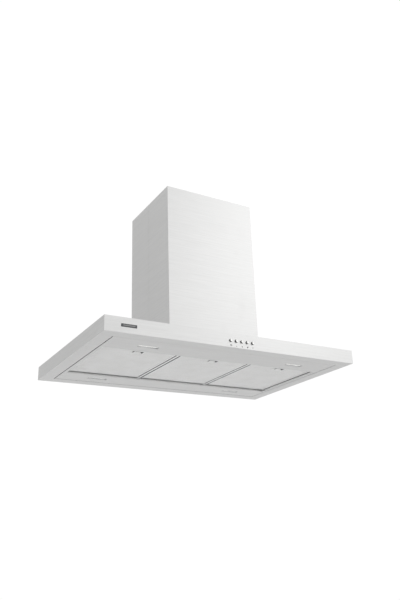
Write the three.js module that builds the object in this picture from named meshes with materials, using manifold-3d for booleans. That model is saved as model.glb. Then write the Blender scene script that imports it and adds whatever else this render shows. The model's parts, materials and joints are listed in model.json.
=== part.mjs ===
// Island range hood with a flat slab canopy and a telescopic chimney, hung from a ceiling plate.
// Millimetres, +Z up, front towards -Y. The origin is the centre of the ceiling plate's top face.
import * as THREE from 'three';
import { mergeVertices } from 'three/addons/utils/BufferGeometryUtils.js';
import Module from 'manifold-3d';

const wasm = await Module();
wasm.setup();

// ---- Driving dimensions -------------------------------------------------------------------------
const SHEET = 1.2; // stainless sheet of the canopy, panel and chimney covers
const GAP = 0.3; // clearance between pieces that touch
const TOTAL_HEIGHT = 608; // ceiling face to canopy underside, chimney fully retracted
const BIG_ROUND = 48; // facets of a large circle
const SMALL_ROUND = 20; // facets of a small circle
const OVERCUT = 2; // how far a cutting tool runs past the face it cuts
const JOIN = 1; // how far two joined shapes run into each other

const CANOPY = { width: 900, depth: 600, height: 46 };
const CHIMNEY = { width: 340, depth: 294 };
const UPPER_COVER_HEIGHT = 500;
const COVER_SLIP = 1; // play between the lower and the upper cover
const COVER_SEAM_Y = 4; // joint line between the front and back covers
const SEAM_GAP = 0.4;
const COVER_TOP_DROP = 0.5; // the covers end just under the ceiling
const AIR_OPENING = { width: 260, depth: 210 }; // in the canopy's top sheet, under the blower

// The inner panel lies flush in the canopy's underside, with a dark groove at its sides and back.
const RIM_OPENING = { width: 816, depth: 515 };
const PANEL = { width: 811, depth: 512, y: -1, lip: 12, openingLip: 13 };
const PANEL_STUD = { radius: 4, inset: 20 };
const FILTER_OPENING = { width: 788, front: -153, back: 166 };
const FILTER = { width: 250, pitch: 268, back: 159, level: 6, height: 9, border: 7, play: 1 };
const FILTER_MESH = { thickness: 2, level: 1 };
const FILTER_HOOK = { width: 20, x: 80, length: 11, thickness: 1.5 };
const DIVIDER = { width: 11, tab: 6 };
const LATCH_CUP = { width: 38, depth: 32, height: 7.5, wall: 1.5, setback: 14 };
const LATCH_TAB = { width: 20, thickness: 1.5, level: 4, padLength: 14, padDrop: 3, tongueOut: 0.6 };
const LATCH_PAD_SETBACK = 38; // filter's front edge to the back of the finger pad
const SLOT_PLAY = 0.6;

const LAMP = { width: 68, depth: 18, x: 270, frontY: -200, backY: 208, lip: 4.2, overlap: 3, thickness: 2 };
const LAMP_HOUSING = { height: 14, wall: 1.5 };

const BUTTON = { count: 5, pitch: 20, radius: 4.7, height: 22, proud: 5, capLength: 6.6 };
const BUTTON_STEM = { radius: 3, length: 10.4 };
const BUTTON_PLAY = 0.5;
const SWITCH_BOX = { width: 110, depth: 18, height: 24, setback: 5, lug: 7, boreDepth: 12 };
const BADGE = { width: 48, height: 9, thickness: 1, x: -376, level: 17.6 };

const CEILING_PLATE = { width: 330, depth: 284, thickness: 2, lip: 15, lipWall: 1.5 };
const CEILING_DUCT_RADIUS = 85;
const CEILING_SLOT = { width: 8, length: 30, x: 120, y: 100 };
const POST = { leg: 25, wall: 2 };
const UPPER_POST_LENGTH = 418;
const LOWER_POST_TOP = 568; // above the canopy underside
const POST_SLIP = 0.5;
const BASE_FRAME = { width: 322, depth: 276, thickness: 2 };
const BRACE = { member: 20, thickness: 3, level: 560 };

const BLOWER = { y: 50, z: 160, halfWidth: 60, wall: 2, eyeRadius: 50 };
const SCROLL = { startRadius: 68, endRadius: 100, steps: 24, sweep: 1.5 * Math.PI, outletTop: 110 };
const BLOWER_FOOT = { halfDepth: 130, flange: 12, top: 90 };
const OUTLET_FLANGE = { width: 164, depth: 160, thickness: 2 };
const IMPELLER = { radius: 62, inner: 50, halfLength: 52, blades: 20, ring: 2, discX: 18, disc: 2, hub: 10 };
const BLADE = { thickness: 1.5, chord: 13, radius: 56, turn: Math.PI / 5 };
const MOTOR = { radius: 38, back: -58, front: 4, shaftRadius: 4, shaftEnd: 22 };
const MOTOR_BRACKET = { hubRadius: 20, arms: 3, armLength: 60, armWidth: 12, thickness: 2.3 };
const COLLAR = { radius: 75, wall: 1.2, height: 60, flange: 1.5, pinLevel: 20, ledge: 4 };
const DAMPER = { radius: 72.5, thickness: 1, edge: 4.5, pinRadius: 2, pinHalf: 77 };
const KNUCKLE = { outer: 4, inner: 2.3, length: 20, starts: [-60, 10] };

const ELECTRICS_BOX = { width: 56, depth: 28, height: 70, x: 103, y: -122 };
const CABLE_GLAND = { radius: 9, height: 14, bore: 4, nutRadius: 12, nutHeight: 5, nutSides: 6 };
const CAPACITOR = { radius: 15, height: 60, x: -98, y: 120 };

// ---- Materials ----------------------------------------------------------------------------------
function finish(color, roughness, metalness) {
  return new THREE.MeshStandardMaterial({ color, roughness, metalness });
}

const brushedSteel = finish(0xd6d6d4, 0.35, 1);
const aluminium = finish(0xcfd0d0, 0.45, 1);
const galvanised = finish(0xb4b8ba, 0.5, 1);
const blackPlastic = finish(0x26282a, 0.6, 0);
const greyPlastic = finish(0x8b8e90, 0.55, 0);
const lampWhite = finish(0xf6f5ee, 0.3, 0);
const chrome = finish(0xe4e4e4, 0.12, 1);
const badgeMetal = finish(0x55585a, 0.4, 1);

// ---- Solids -------------------------------------------------------------------------------------
function toSolid(geometry) {
  geometry.deleteAttribute('normal');
  geometry.deleteAttribute('uv');
  const merged = mergeVertices(geometry);
  return new wasm.Manifold(new wasm.Mesh({
    numProp: 3,
    vertProperties: new Float32Array(merged.attributes.position.array),
    triVerts: new Uint32Array(merged.index.array),
  }));
}

function toGeometry(solid) {
  const mesh = solid.getMesh();
  const geometry = new THREE.BufferGeometry();
  geometry.setAttribute('position', new THREE.BufferAttribute(mesh.vertProperties, 3));
  geometry.setIndex(new THREE.BufferAttribute(mesh.triVerts, 1));
  return geometry;
}

// A block between two opposite corners.
function block(low, high) {
  const size = high.map((value, axis) => value - low[axis]);
  const geometry = new THREE.BoxGeometry(...size);
  geometry.translate(...low.map((value, axis) => value + size[axis] / 2));
  return toSolid(geometry);
}

// A block centred in x and y, standing between two levels.
function slab(width, depth, bottom, top, x = 0, y = 0) {
  return block([x - width / 2, y - depth / 2, bottom], [x + width / 2, y + depth / 2, top]);
}

// A rectangular ring: an outer slab with a centred rectangular opening.
function rectangularRing(width, depth, member, bottom, top) {
  const opening = slab(width - 2 * member, depth - 2 * member, bottom - OVERCUT, top + OVERCUT);
  return slab(width, depth, bottom, top).subtract(opening);
}

function cylinderZ(radius, bottom, top, x = 0, y = 0, facets = BIG_ROUND) {
  const geometry = new THREE.CylinderGeometry(radius, radius, top - bottom, facets);
  geometry.rotateX(Math.PI / 2);
  geometry.translate(x, y, (bottom + top) / 2);
  return toSolid(geometry);
}

function cylinderX(radius, left, right, y = 0, z = 0, facets = BIG_ROUND) {
  const geometry = new THREE.CylinderGeometry(radius, radius, right - left, facets);
  geometry.rotateZ(-Math.PI / 2);
  geometry.translate((left + right) / 2, y, z);
  return toSolid(geometry);
}

function cylinderY(radius, front, back, x = 0, z = 0, facets = SMALL_ROUND) {
  const geometry = new THREE.CylinderGeometry(radius, radius, back - front, facets);
  geometry.translate(x, (front + back) / 2, z);
  return toSolid(geometry);
}

// An outline of [x, y] points raised between two levels.
function prismZ(points, bottom, top) {
  const shape = new THREE.Shape(points.map(([x, y]) => new THREE.Vector2(x, y)));
  const geometry = new THREE.ExtrudeGeometry(shape, { depth: top - bottom, bevelEnabled: false });
  geometry.translate(0, 0, bottom);
  return toSolid(geometry);
}

// An outline of [y, z] points carried from left to right along x.
function prismX(points, left, right) {
  const shape = new THREE.Shape(points.map(([y, z]) => new THREE.Vector2(y, z)));
  const geometry = new THREE.ExtrudeGeometry(shape, { depth: right - left, bevelEnabled: false });
  const yzToWorld = new THREE.Matrix4().makeBasis(
    new THREE.Vector3(0, 1, 0),
    new THREE.Vector3(0, 0, 1),
    new THREE.Vector3(1, 0, 0),
  );
  geometry.applyMatrix4(yzToWorld);
  geometry.translate(left, 0, 0);
  return toSolid(geometry);
}

const joined = (solids) => solids.reduce((whole, solid) => whole.add(solid));

// ---- Scene tree: the ceiling frame is fixed, everything on the hood hangs below it --------------
const model = new THREE.Group();
const hood = new THREE.Group();
hood.position.z = -TOTAL_HEIGHT; // the hood's own zero is the canopy underside
model.add(hood);

function addPiece(parent, name, solid, material, position = [0, 0, 0]) {
  const mesh = new THREE.Mesh(toGeometry(solid), material);
  mesh.name = name;
  mesh.position.set(...position);
  parent.add(mesh);
}

const corners = [
  { name: 'front_left', sideX: -1, sideY: -1 },
  { name: 'front_right', sideX: 1, sideY: -1 },
  { name: 'back_left', sideX: -1, sideY: 1 },
  { name: 'back_right', sideX: 1, sideY: 1 },
];

// ---- Ceiling frame and chimney ------------------------------------------------------------------
function ceilingPlate() {
  const { width, depth, thickness, lip, lipWall } = CEILING_PLATE;
  const plate = joined([
    slab(width, depth, -thickness, 0),
    rectangularRing(width, depth, lipWall, -lip, 0),
  ]);
  const cuts = corners.map(({ sideX, sideY }) => slab(
    CEILING_SLOT.length, CEILING_SLOT.width, -thickness - OVERCUT, OVERCUT,
    sideX * CEILING_SLOT.x, sideY * CEILING_SLOT.y,
  ));
  return plate.subtract(joined([...cuts, cylinderZ(CEILING_DUCT_RADIUS, -thickness - OVERCUT, OVERCUT)]));
}

// An L-section post whose outer corner is at x, y and whose legs point back to the centre.
function anglePost(x, y, sideX, sideY, bottom, top) {
  const { leg, wall } = POST;
  const inX = (distance) => x - sideX * distance;
  const inY = (distance) => y - sideY * distance;
  const outline = [[x, y], [inX(leg), y], [inX(leg), inY(wall)], [inX(wall), inY(wall)],
    [inX(wall), inY(leg)], [x, inY(leg)]];
  return prismZ(outline, bottom, top);
}

const upperPostX = CEILING_PLATE.width / 2 - CEILING_PLATE.lipWall - GAP;
const upperPostY = CEILING_PLATE.depth / 2 - CEILING_PLATE.lipWall - GAP;
const lowerPostX = upperPostX - POST.wall - POST_SLIP;
const lowerPostY = upperPostY - POST.wall - POST_SLIP;

// One folded half of a chimney cover: a face and two side legs up to the seam.
function coverHalf(width, depth, side, bottom, top) {
  const x = width / 2;
  const face = side * depth / 2;
  const seam = COVER_SEAM_Y + side * SEAM_GAP / 2;
  const innerX = x - SHEET;
  const innerFace = face - side * SHEET;
  const outline = [[-x, seam], [-x, face], [x, face], [x, seam],
    [innerX, seam], [innerX, innerFace], [-innerX, innerFace], [-innerX, seam]];
  return prismZ(outline, bottom, top);
}

const upperCoverWidth = CHIMNEY.width - 2 * (SHEET + COVER_SLIP);
const upperCoverDepth = CHIMNEY.depth - 2 * (SHEET + COVER_SLIP);

function addCeilingFrame() {
  addPiece(model, 'ceiling_plate', ceilingPlate(), galvanised);
  const postTop = -CEILING_PLATE.thickness - GAP;
  for (const { name, sideX, sideY } of corners) {
    const post = anglePost(sideX * upperPostX, sideY * upperPostY, sideX, sideY,
      postTop - UPPER_POST_LENGTH, postTop);
    addPiece(model, `upper_post_${name}`, post, galvanised);
  }
  for (const [name, side] of [['front', -1], ['back', 1]]) {
    const cover = coverHalf(upperCoverWidth, upperCoverDepth, side,
      -COVER_TOP_DROP - UPPER_COVER_HEIGHT, -COVER_TOP_DROP);
    addPiece(model, `upper_chimney_${name}`, cover, brushedSteel);
  }
}

function addLowerChimney() {
  for (const [name, side] of [['front', -1], ['back', 1]]) {
    const cover = coverHalf(CHIMNEY.width, CHIMNEY.depth, side,
      CANOPY.height + GAP, TOTAL_HEIGHT - COVER_TOP_DROP);
    addPiece(hood, `lower_chimney_${name}`, cover, brushedSteel);
  }
}

function addLowerFrame() {
  const base = CANOPY.height + GAP;
  const { width, depth, thickness } = BASE_FRAME;
  const opening = slab(AIR_OPENING.width, AIR_OPENING.depth, base - OVERCUT, base + thickness + OVERCUT);
  addPiece(hood, 'base_frame', slab(width, depth, base, base + thickness).subtract(opening), galvanised);
  for (const { name, sideX, sideY } of corners) {
    const post = anglePost(sideX * lowerPostX, sideY * lowerPostY, sideX, sideY,
      base + thickness + GAP, LOWER_POST_TOP);
    addPiece(hood, `lower_post_${name}`, post, galvanised);
  }
  const braceWidth = 2 * (lowerPostX - POST.wall - GAP);
  const braceDepth = 2 * (lowerPostY - POST.wall - GAP);
  const brace = rectangularRing(braceWidth, braceDepth, BRACE.member,
    BRACE.level, BRACE.level + BRACE.thickness);
  addPiece(hood, 'lower_brace', brace, galvanised);
}

// ---- Canopy -------------------------------------------------------------------------------------
const buttonXs = Array.from({ length: BUTTON.count }, (_, i) => (i - (BUTTON.count - 1) / 2) * BUTTON.pitch);

function canopyShell() {
  const { width, depth, height } = CANOPY;
  const inside = slab(width - 2 * SHEET, depth - 2 * SHEET, SHEET, height - SHEET);
  const panelOpening = slab(RIM_OPENING.width, RIM_OPENING.depth, -OVERCUT, SHEET + OVERCUT);
  const airOpening = slab(AIR_OPENING.width, AIR_OPENING.depth, height - SHEET - OVERCUT, height + OVERCUT);
  const front = -depth / 2;
  const buttonHoles = buttonXs.map((x) => cylinderY(
    BUTTON.radius + BUTTON_PLAY, front - OVERCUT, front + SHEET + OVERCUT, x, BUTTON.height,
  ));
  return slab(width, depth, 0, height).subtract(joined([inside, panelOpening, airOpening, ...buttonHoles]));
}

const lampPlaces = [
  { name: 'front_left', x: -LAMP.x, y: LAMP.frontY },
  { name: 'front_right', x: LAMP.x, y: LAMP.frontY },
  { name: 'back_left', x: -LAMP.x, y: LAMP.backY },
  { name: 'back_right', x: LAMP.x, y: LAMP.backY },
];

// A tray with folded-up edges, cut out for the filters and the lamps, held up by four studs.
function innerPanel() {
  const { width, depth, y: panelY, lip, openingLip } = PANEL;
  const openingX = FILTER_OPENING.width / 2;
  const { front, back } = FILTER_OPENING;
  const openingCut = block([-openingX, front, -OVERCUT], [openingX, back, openingLip + OVERCUT]);
  const openingFold = block([-openingX - SHEET, front - SHEET, 0],
    [openingX + SHEET, back + SHEET, openingLip]);
  const studX = width / 2 - PANEL_STUD.inset;
  const studY = depth / 2 - PANEL_STUD.inset;
  const studs = corners.map(({ sideX, sideY }) => cylinderZ(PANEL_STUD.radius, 0,
    CANOPY.height - SHEET - GAP, sideX * studX, panelY + sideY * studY, SMALL_ROUND));
  const lampHoles = lampPlaces.map(({ x, y }) => slab(
    LAMP.width, LAMP.depth, -OVERCUT, LAMP.lip + OVERCUT, x, y,
  ));
  const lampLips = lampPlaces.map(({ x, y }) => slab(
    LAMP.width + 2 * SHEET, LAMP.depth + 2 * SHEET, 0, LAMP.lip, x, y,
  ));
  const edge = rectangularRing(width, depth, SHEET, 0, lip).translate([0, panelY, 0]);
  const tray = slab(width, depth, 0, SHEET, 0, panelY).add(edge);
  return joined([tray, openingFold, ...studs, ...lampLips]).subtract(joined([openingCut, ...lampHoles]));
}

// A strip between two filters and flush with them, its ends folded up along the opening's folds.
function dividerStrip() {
  const { width, tab } = DIVIDER;
  const front = FILTER_OPENING.front + GAP;
  const back = FILTER_OPENING.back - GAP;
  const strip = block([-width / 2, front, 0], [width / 2, back, SHEET]);
  const tabs = [front, back - SHEET].map((y) => block([-width / 2, y, 0], [width / 2, y + SHEET, tab]));
  return joined([strip, ...tabs]);
}

function addDividers() {
  for (const [name, side] of [['left', -1], ['right', 1]]) {
    addPiece(hood, `filter_divider_${name}`, dividerStrip(), aluminium,
      [side * FILTER.pitch / 2, 0, FILTER.level]);
  }
}

function addLamps() {
  const { width, depth, lip, overlap, thickness } = LAMP;
  const seat = lip + GAP;
  const outerWidth = width + 2 * overlap;
  const outerDepth = depth + 2 * overlap;
  const lens = slab(outerWidth, outerDepth, seat, seat + thickness);
  const bottom = seat + thickness + GAP;
  const { height, wall } = LAMP_HOUSING;
  const housing = slab(outerWidth, outerDepth, bottom, bottom + height)
    .subtract(slab(outerWidth - 2 * wall, outerDepth - 2 * wall, bottom - OVERCUT, bottom + height - wall));
  for (const { name, x, y } of lampPlaces) {
    addPiece(hood, `lamp_lens_${name}`, lens, lampWhite, [x, y, 0]);
    addPiece(hood, `lamp_housing_${name}`, housing, greyPlastic, [x, y, 0]);
  }
}

// ---- Push buttons and badge on the front face ---------------------------------------------------
function addButtons() {
  const front = -CANOPY.depth / 2;
  const capBack = BUTTON.capLength - BUTTON.proud;
  const button = cylinderY(BUTTON.radius, -BUTTON.proud, capBack)
    .add(cylinderY(BUTTON_STEM.radius, 0, capBack + BUTTON_STEM.length));
  buttonXs.forEach((x, index) => {
    addPiece(hood, `button_${index + 1}`, button, chrome, [x, front, BUTTON.height]);
  });
  const { width, depth, height, setback, lug, boreDepth } = SWITCH_BOX;
  const body = block([-width / 2, setback, -height / 2], [width / 2, setback + depth, height / 2]);
  const lugs = [-1, 1].map((side) => {
    const [left, right] = [side * width / 2, side * (width / 2 - lug)].sort((a, b) => a - b);
    return block([left, SHEET + GAP, -height / 2], [right, setback + JOIN, height / 2]);
  });
  const bores = buttonXs.map((x) => cylinderY(
    BUTTON_STEM.radius + BUTTON_PLAY, setback - OVERCUT, setback + boreDepth, x,
  ));
  const housing = joined([body, ...lugs]).subtract(joined(bores));
  addPiece(hood, 'switch_housing', housing, blackPlastic, [0, front, BUTTON.height]);
  const badge = slab(BADGE.width, BADGE.thickness, 0, BADGE.height);
  addPiece(hood, 'badge_plate', badge, badgeMetal,
    [BADGE.x, front - GAP - BADGE.thickness / 2, BADGE.level]);
}

// ---- Filters, each hinged at its back edge with a sprung latch at its front edge ----------------
// A filter's own zero is the middle of its hinge line, at the bottom of its back edge.
const filterDepth = FILTER.back - FILTER_OPENING.front - FILTER.play;
const cupFront = -filterDepth + FILTER.border + GAP + LATCH_CUP.setback;

function tongueSlot() {
  const halfWidth = LATCH_TAB.width / 2 + SLOT_PLAY;
  const bottom = LATCH_TAB.level - SLOT_PLAY;
  const top = LATCH_TAB.level + LATCH_TAB.thickness + SLOT_PLAY;
  return block([-halfWidth, -filterDepth - OVERCUT, bottom], [halfWidth, cupFront + OVERCUT, top]);
}

// A hook at the top of the frame's back edge that lies over the opening's fold.
function filterHook(x) {
  const { width, length, thickness } = FILTER_HOOK;
  return block([x - width / 2, -JOIN, FILTER.height - thickness], [x + width / 2, length, FILTER.height]);
}

function filterFrame() {
  const { width, border, height } = FILTER;
  const frame = rectangularRing(width, filterDepth, border, 0, height).translate([0, -filterDepth / 2, 0]);
  const hooks = [-1, 1].map((side) => filterHook(side * FILTER_HOOK.x));
  return joined([frame, ...hooks]).subtract(tongueSlot());
}

function filterMesh() {
  const { thickness, level } = FILTER_MESH;
  const inset = 2 * (FILTER.border + GAP);
  const pad = slab(FILTER.width - inset, filterDepth - inset, level, level + thickness, 0, -filterDepth / 2);
  const cupHole = block([-LATCH_CUP.width / 2 - GAP, cupFront - GAP, -OVERCUT],
    [LATCH_CUP.width / 2 + GAP, cupFront + LATCH_CUP.depth + GAP, level + thickness + OVERCUT]);
  return pad.subtract(cupHole);
}

function latchCup() {
  const { width, depth, height, wall } = LATCH_CUP;
  const y = cupFront + depth / 2;
  return slab(width, depth, 0, height, 0, y)
    .subtract(slab(width - 2 * wall, depth - 2 * wall, -OVERCUT, height - wall, 0, y))
    .subtract(tongueSlot());
}

// A tongue that reaches through the frame, and the pad that a fingertip slides back.
function latchTab() {
  const { width, thickness, level, padLength, padDrop, tongueOut } = LATCH_TAB;
  const padBack = -filterDepth + LATCH_PAD_SETBACK;
  const tongue = block([-width / 2, -filterDepth - tongueOut, level],
    [width / 2, padBack, level + thickness]);
  const pad = block([-width / 2, padBack - padLength, level - padDrop],
    [width / 2, padBack, level + JOIN]);
  return tongue.add(pad);
}

function addFilters() {
  const places = [['left', -FILTER.pitch], ['middle', 0], ['right', FILTER.pitch]];
  for (const [name, x] of places) {
    const filter = new THREE.Group();
    filter.position.set(x, FILTER.back, FILTER.level);
    hood.add(filter);
    addPiece(filter, `filter_frame_${name}`, filterFrame(), aluminium);
    addPiece(filter, `filter_mesh_${name}`, filterMesh(), aluminium);
    addPiece(filter, `latch_cup_${name}`, latchCup(), greyPlastic);
    addPiece(filter, `latch_tab_${name}`, latchTab(), chrome);
  }
}

// ---- Blower: a scroll between two side plates, each with an eye, discharging upwards -------------
// The blower's own zero is the middle of its shaft line.
const sideOuter = BLOWER.halfWidth;
const sideInner = BLOWER.halfWidth - BLOWER.wall;

// The [y, z] outline of the scroll and its outlet, drawn inwards by an inset.
function scrollOutline(inset, top) {
  const { startRadius, endRadius, steps, sweep } = SCROLL;
  const points = [[-inset, top]];
  for (let step = 0; step <= steps; step += 1) {
    const share = step / steps;
    const angle = Math.PI / 2 - share * sweep;
    const radius = startRadius + share * (endRadius - startRadius) - inset;
    const tongueInset = step === 0 ? inset : 0;
    points.push([radius * Math.cos(angle) - tongueInset, radius * Math.sin(angle)]);
  }
  points.push([inset - endRadius, top]);
  return points;
}

// The curved sheet around the impeller, with the outlet's flange on top.
function blowerScroll() {
  const { width, depth, thickness } = OUTLET_FLANGE;
  const flangeBottom = SCROLL.outletTop;
  const flangeTop = flangeBottom + thickness;
  const outletY = -SCROLL.endRadius / 2;
  const reach = sideInner - GAP;
  const band = prismX(scrollOutline(0, flangeTop), -reach, reach)
    .subtract(prismX(scrollOutline(BLOWER.wall, flangeTop + OVERCUT), -reach - OVERCUT, reach + OVERCUT));
  const flange = slab(width, depth, flangeBottom, flangeTop, 0, outletY);
  const mouth = slab(2 * reach, SCROLL.endRadius - 2 * BLOWER.wall, flangeBottom - OVERCUT,
    flangeTop + OVERCUT, 0, outletY);
  return joined([band, flange]).subtract(mouth);
}

// A flat plate with the eye in it, folded outwards at the bottom into a foot.
function blowerSide(side) {
  const { flange, halfDepth, top } = BLOWER_FOOT;
  const bottom = CANOPY.height + GAP + BASE_FRAME.thickness + GAP - BLOWER.z;
  const front = -halfDepth - BLOWER.y;
  const back = halfDepth - BLOWER.y;
  const [plateLeft, plateRight] = [side * sideInner, side * sideOuter].sort((a, b) => a - b);
  const [footLeft, footRight] = [side * sideInner, side * (sideOuter + flange)].sort((a, b) => a - b);
  const plate = prismX(scrollOutline(0, SCROLL.outletTop - GAP), plateLeft, plateRight);
  const skirt = block([plateLeft, front, bottom], [plateRight, back, top - BLOWER.z]);
  const foot = block([footLeft, front, bottom], [footRight, back, bottom + BLOWER.wall]);
  const eye = cylinderX(BLOWER.eyeRadius, plateLeft - OVERCUT, plateRight + OVERCUT);
  return joined([plate, skirt, foot]).subtract(eye);
}

// The plate inside the impeller's cage, with the hub that sits on the motor's shaft.
function impellerDisc() {
  const { inner, discX, disc, hub } = IMPELLER;
  const bore = cylinderX(MOTOR.shaftRadius + GAP, discX - hub - OVERCUT, discX + disc + OVERCUT,
    0, 0, SMALL_ROUND);
  return cylinderX(inner - GAP, discX, discX + disc)
    .add(cylinderX(hub, discX - hub, discX + disc, 0, 0, SMALL_ROUND))
    .subtract(bore);
}

// A ring of slanted blades between two end rings.
function impellerCage() {
  const { radius, inner, halfLength, blades, ring } = IMPELLER;
  const rings = cylinderX(radius, -halfLength, ring - halfLength)
    .add(cylinderX(radius, halfLength - ring, halfLength))
    .subtract(cylinderX(inner, -halfLength - OVERCUT, halfLength + OVERCUT));
  const blade = new THREE.BoxGeometry(2 * halfLength - ring, BLADE.chord, BLADE.thickness);
  blade.rotateX(BLADE.turn);
  blade.translate(0, BLADE.radius, 0);
  const cage = Array.from({ length: blades }, (_, i) => toSolid(
    blade.clone().rotateX(i * 2 * Math.PI / blades),
  ));
  return joined([rings, ...cage]);
}

function motorBracket() {
  const { hubRadius, arms, armLength, armWidth, thickness } = MOTOR_BRACKET;
  const back = -BLOWER.halfWidth - GAP;
  const spokes = Array.from({ length: arms }, (_, i) => {
    const arm = new THREE.BoxGeometry(thickness, armWidth, armLength);
    arm.translate(back - thickness / 2, 0, armLength / 2);
    arm.rotateX(i * 2 * Math.PI / arms);
    return toSolid(arm);
  });
  const hub = cylinderX(hubRadius, back - thickness, MOTOR.back - GAP, 0, 0, SMALL_ROUND);
  return joined([hub, ...spokes]);
}

function addBlower() {
  const blower = new THREE.Group();
  blower.position.set(0, BLOWER.y, BLOWER.z);
  hood.add(blower);
  addPiece(blower, 'blower_scroll', blowerScroll(), blackPlastic);
  addPiece(blower, 'blower_side_left', blowerSide(-1), blackPlastic);
  addPiece(blower, 'blower_side_right', blowerSide(1), blackPlastic);
  addPiece(blower, 'impeller_disc', impellerDisc(), greyPlastic);
  addPiece(blower, 'impeller_cage', impellerCage(), greyPlastic);
  const motor = cylinderX(MOTOR.radius, MOTOR.back, MOTOR.front)
    .add(cylinderX(MOTOR.shaftRadius, MOTOR.front - JOIN, MOTOR.shaftEnd, 0, 0, SMALL_ROUND));
  addPiece(blower, 'motor', motor, galvanised);
  addPiece(blower, 'motor_bracket', motorBracket(), galvanised);
}

// ---- Outlet collar with two damper flaps on one pin ---------------------------------------------
const collarBase = BLOWER.z + SCROLL.outletTop + OUTLET_FLANGE.thickness + GAP;

function outletCollar() {
  const { radius, wall, height, flange, pinLevel, ledge } = COLLAR;
  const inner = radius - wall;
  const ledgeTop = pinLevel - DAMPER.thickness / 2 - GAP;
  const tube = cylinderZ(radius, 0, height).subtract(cylinderZ(inner, -OVERCUT, height + OVERCUT));
  const flangePlate = slab(OUTLET_FLANGE.width, OUTLET_FLANGE.depth, 0, flange)
    .subtract(cylinderZ(inner, -OVERCUT, flange + OVERCUT));
  const ledgeRing = cylinderZ(radius - wall / 2, ledgeTop - SHEET, ledgeTop)
    .subtract(cylinderZ(inner - ledge, ledgeTop - SHEET - OVERCUT, ledgeTop + OVERCUT));
  const pinHole = cylinderX(KNUCKLE.inner, -radius - OVERCUT, radius + OVERCUT, 0, pinLevel, SMALL_ROUND);
  return joined([tube, flangePlate, ledgeRing]).subtract(pinHole);
}

// A half disc on the +Y side of the pin, with two knuckles around the pin.
function damperFlap() {
  const { radius, thickness, edge } = DAMPER;
  const half = thickness / 2;
  const disc = cylinderZ(radius, -half, half);
  const keep = block([-radius, edge, -OVERCUT], [radius, radius + OVERCUT, OVERCUT]);
  const knuckles = KNUCKLE.starts.flatMap((start) => {
    const end = start + KNUCKLE.length;
    return [
      cylinderX(KNUCKLE.outer, start, end, 0, 0, SMALL_ROUND),
      block([start, KNUCKLE.inner, -half], [end, edge + JOIN, half]),
    ];
  });
  const pinBore = cylinderX(KNUCKLE.inner, -radius, radius, 0, 0, SMALL_ROUND);
  return joined([disc.intersect(keep), ...knuckles]).subtract(pinBore);
}

function addOutlet() {
  const outlet = new THREE.Group();
  outlet.position.set(0, 0, collarBase);
  hood.add(outlet);
  addPiece(outlet, 'outlet_collar', outletCollar(), blackPlastic);
  const pin = cylinderX(DAMPER.pinRadius, -DAMPER.pinHalf, DAMPER.pinHalf, 0, 0, SMALL_ROUND);
  const pinPlace = [0, 0, COLLAR.pinLevel];
  addPiece(outlet, 'damper_pin', pin, galvanised, pinPlace);
  addPiece(outlet, 'damper_flap_back', damperFlap(), greyPlastic, pinPlace);
  const frontFlap = new THREE.Group();
  frontFlap.rotation.z = Math.PI;
  outlet.add(frontFlap);
  addPiece(frontFlap, 'damper_flap_front', damperFlap(), greyPlastic, pinPlace);
}

// ---- Electrics ----------------------------------------------------------------------------------
function addElectrics() {
  const floor = CANOPY.height + GAP + BASE_FRAME.thickness + GAP;
  const { width, depth, height, x, y } = ELECTRICS_BOX;
  addPiece(hood, 'electrics_box', slab(width, depth, 0, height), blackPlastic, [x, y, floor]);
  const gland = cylinderZ(CABLE_GLAND.radius, 0, CABLE_GLAND.height, 0, 0, SMALL_ROUND)
    .add(cylinderZ(CABLE_GLAND.nutRadius, 0, CABLE_GLAND.nutHeight, 0, 0, CABLE_GLAND.nutSides))
    .subtract(cylinderZ(CABLE_GLAND.bore, OVERCUT, CABLE_GLAND.height + OVERCUT, 0, 0, SMALL_ROUND));
  addPiece(hood, 'cable_gland', gland, greyPlastic, [x, y, floor + height + GAP]);
  const capacitor = cylinderZ(CAPACITOR.radius, 0, CAPACITOR.height, 0, 0, SMALL_ROUND);
  addPiece(hood, 'capacitor', capacitor, greyPlastic, [CAPACITOR.x, CAPACITOR.y, floor]);
}

addCeilingFrame();
addLowerChimney();
addLowerFrame();
addPiece(hood, 'canopy_shell', canopyShell(), brushedSteel);
addPiece(hood, 'inner_panel', innerPanel(), brushedSteel);
addDividers();
addLamps();
addButtons();
addFilters();
addBlower();
addOutlet();
addElectrics();

export default model;
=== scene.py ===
"""Looks of the island range hood: camera, studio, materials and fine pieces around the CAD frame."""
import json
import math

import bmesh
import bpy
from mathutils import Matrix, Vector


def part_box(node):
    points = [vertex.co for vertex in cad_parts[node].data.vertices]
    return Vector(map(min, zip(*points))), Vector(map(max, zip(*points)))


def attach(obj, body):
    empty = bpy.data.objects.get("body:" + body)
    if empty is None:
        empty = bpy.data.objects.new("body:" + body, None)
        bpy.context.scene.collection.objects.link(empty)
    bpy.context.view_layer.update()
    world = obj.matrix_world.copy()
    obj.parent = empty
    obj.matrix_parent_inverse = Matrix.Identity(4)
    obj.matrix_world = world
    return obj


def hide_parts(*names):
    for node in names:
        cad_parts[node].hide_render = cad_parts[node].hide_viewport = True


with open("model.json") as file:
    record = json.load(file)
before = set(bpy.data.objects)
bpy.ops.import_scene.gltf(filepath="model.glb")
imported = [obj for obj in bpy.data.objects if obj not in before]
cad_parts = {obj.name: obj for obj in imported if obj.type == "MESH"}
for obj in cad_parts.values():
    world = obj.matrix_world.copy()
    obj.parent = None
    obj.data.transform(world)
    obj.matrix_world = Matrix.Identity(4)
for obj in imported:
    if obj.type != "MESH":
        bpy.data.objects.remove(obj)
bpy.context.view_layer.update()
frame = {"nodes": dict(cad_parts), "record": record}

MM = 0.001
canopy_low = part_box("canopy_shell")[0]
UNDERSIDE = canopy_low.z
FRONT_FACE = canopy_low.y
SIDES = ("left", "middle", "right")
CORNERS = ("front_left", "front_right", "back_left", "back_right")
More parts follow.
